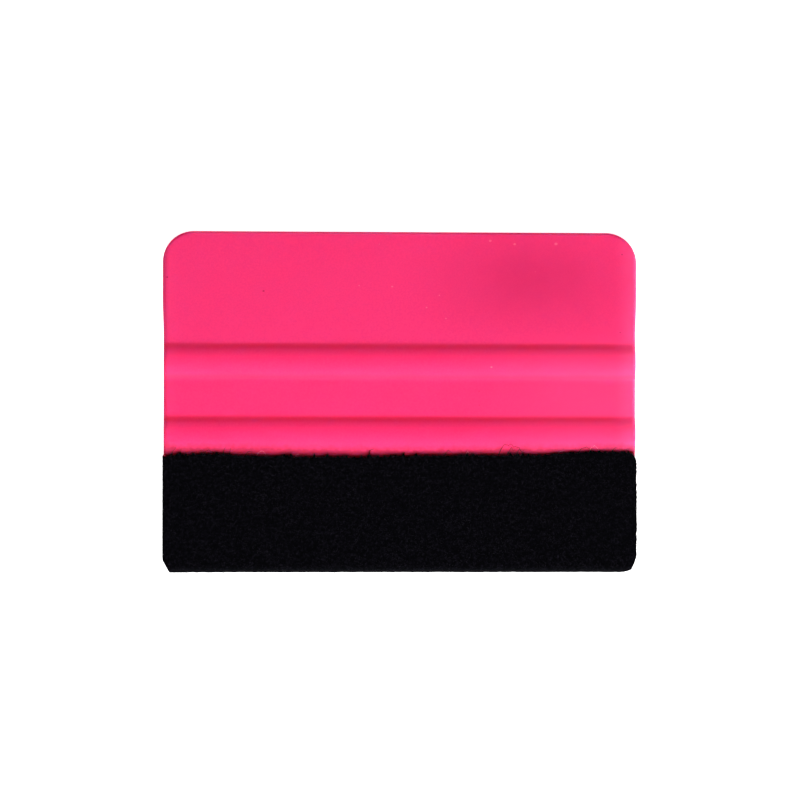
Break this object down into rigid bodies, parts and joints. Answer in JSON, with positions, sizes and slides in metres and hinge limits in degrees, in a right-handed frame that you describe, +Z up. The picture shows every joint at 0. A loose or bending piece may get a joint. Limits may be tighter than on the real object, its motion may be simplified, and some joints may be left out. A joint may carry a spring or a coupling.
{
  "type": "felt edge squeegee applicator",
  "caption": "Flat moulded plastic squeegee card with grip ridges across both faces and a felt strip folded over its working edge, for smoothing adhesive film.",
  "frame": {"origin": "centre of the bottom of the outer box, with the card lying on its back on a table", "axes": "+X along the width of the working edge, +Y from the felt edge towards the bare hand edge, +Z up out of the front face"},
  "size_m": [0.1004, 0.072, 0.0044],
  "materials": {
    "card_plastic": "satin hot-pink polypropylene with a fine moulded texture",
    "adhesive": "pale translucent acrylic adhesive film, tacky",
    "felt": "black pressed needle felt with a short raised nap and loose fibres at its cut edges"
  },
  "bodies": {
    "root": {"squeegee_card": "card_plastic", "felt_adhesive": "adhesive", "felt_edge": "felt"}
  },
  "joints": []
}
